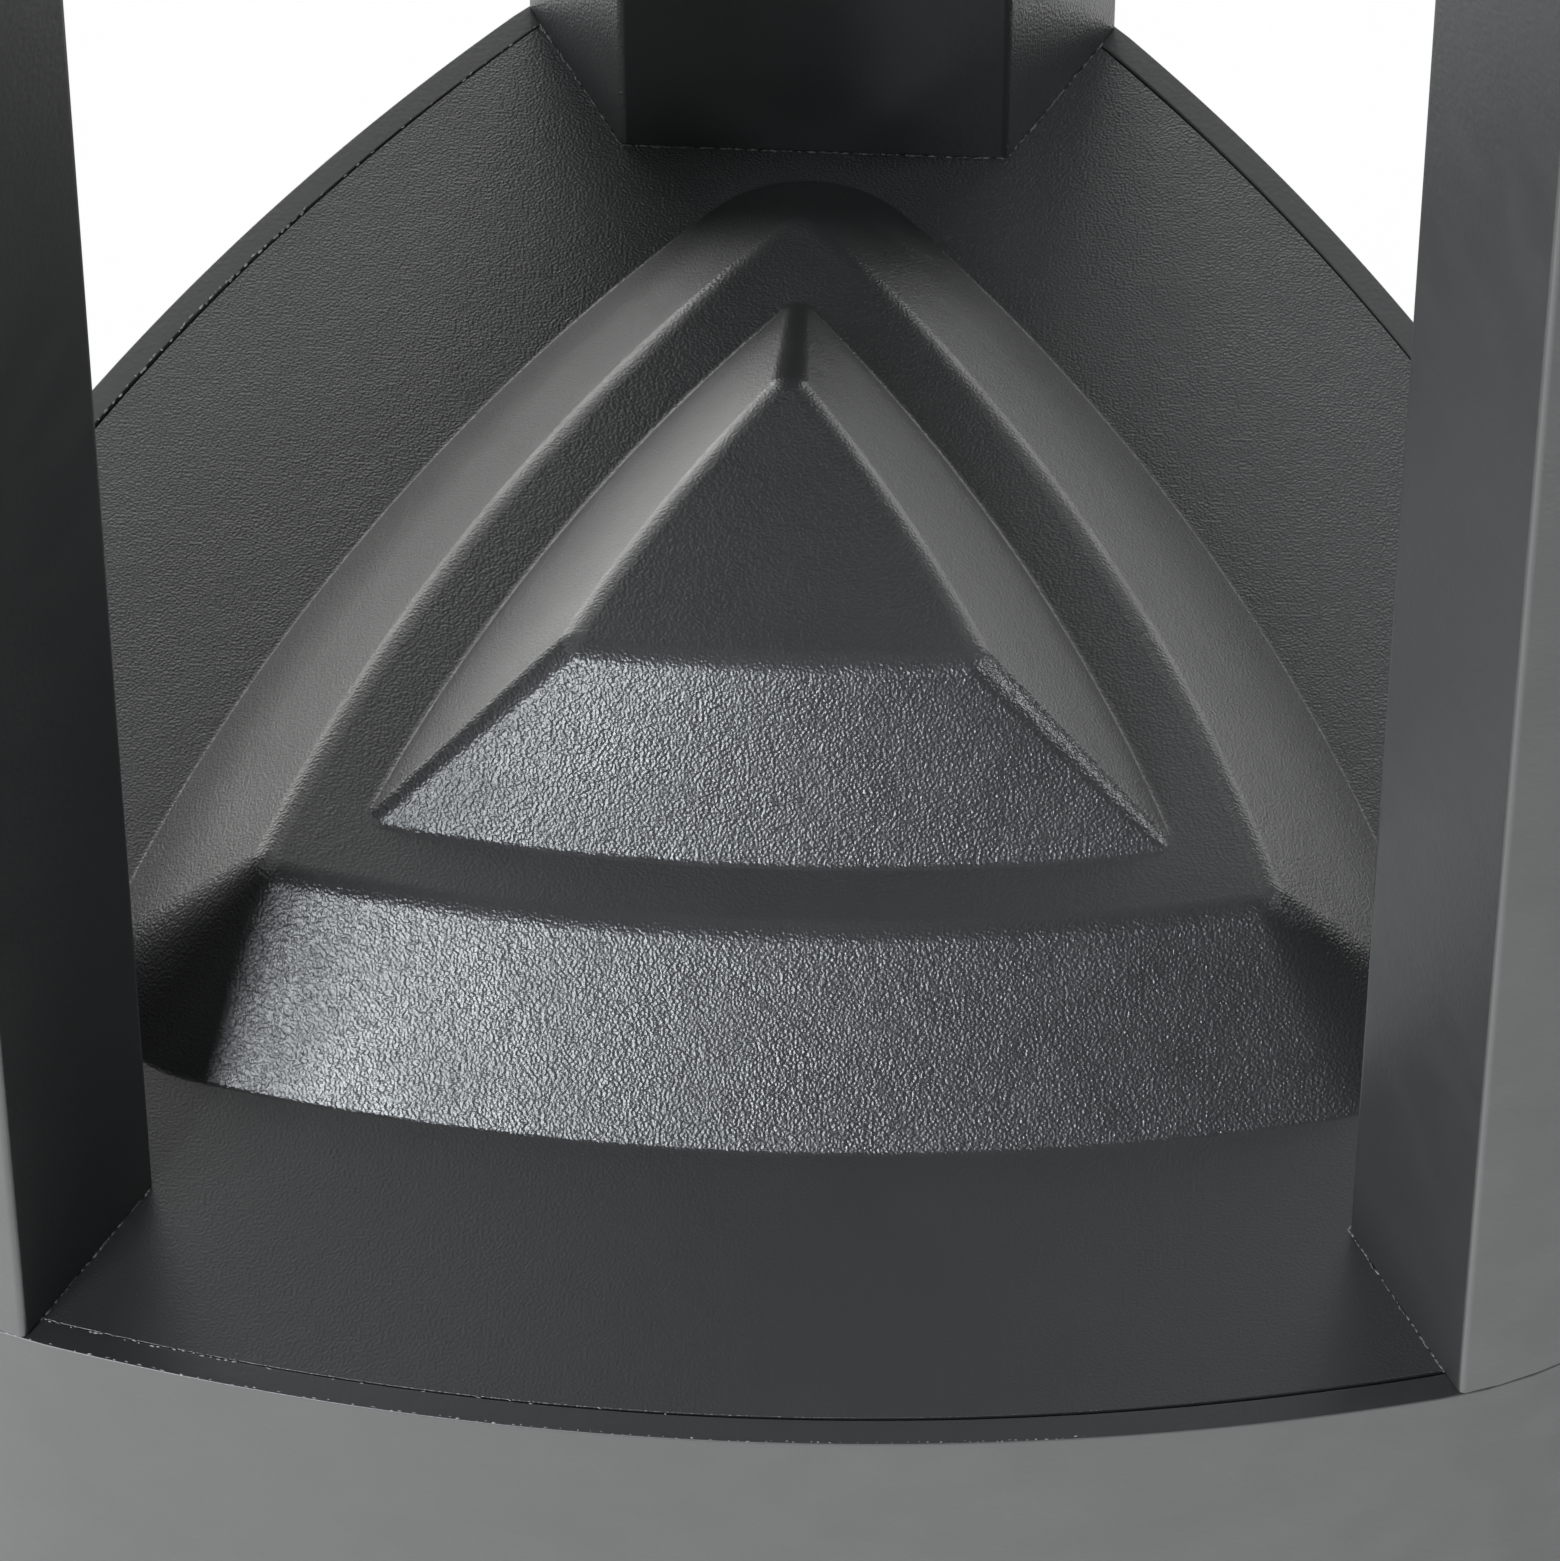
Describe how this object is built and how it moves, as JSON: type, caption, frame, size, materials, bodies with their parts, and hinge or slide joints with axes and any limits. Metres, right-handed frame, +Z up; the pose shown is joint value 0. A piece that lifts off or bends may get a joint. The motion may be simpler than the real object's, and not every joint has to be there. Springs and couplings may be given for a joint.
{
  "type": "path light",
  "caption": "Bollard path light with a rounded triangular column, open head on corner posts and a stepped deflector",
  "frame": {"origin": "centre of the anchor bolt circle on the ground face of the base plate", "axes": "+Z up along the column, -Y out through the front window, +Y towards the rear post, +X to the right"},
  "size_m": [0.1802, 0.1729, 0.65],
  "materials": {
    "coat": "fine textured powder coat on aluminium, dark graphite",
    "bare_aluminium": "machined",
    "steel": "plated",
    "brass_plain": "plain",
    "seal": "matt rubber",
    "opal": "opal diffuser",
    "white_plastic": "moulded",
    "black_plastic": "cable sheath"
  },
  "bodies": {
    "root": {"column": "coat", "deflector": "coat", "post_rear": "coat", "post_left": "coat", "post_right": "coat", "head_casting": "coat", "lens_frame": "coat", "frame_gasket": "seal", "frame_screws": "steel", "lens": "opal", "lens_gasket": "seal", "lens_ring": "bare_aluminium", "lens_ring_screws": "steel", "thermal_pad": "seal", "led_board": "bare_aluminium", "led_board_screws": "steel", "led_chips": "white_plastic", "led_connector": "white_plastic", "tie_rods": "steel", "tie_rod_washers": "steel", "tie_rod_nuts": "steel", "base_plate": "coat", "set_screws": "steel", "cable_grommet": "seal", "gear_tray": "steel", "tray_screws": "steel", "driver": "white_plastic", "driver_screws": "steel", "terminal_block": "white_plastic", "terminal_screw": "steel", "earth_stud": "brass_plain", "earth_nuts": "brass_plain", "led_lead": "black_plastic"}
  },
  "joints": []
}
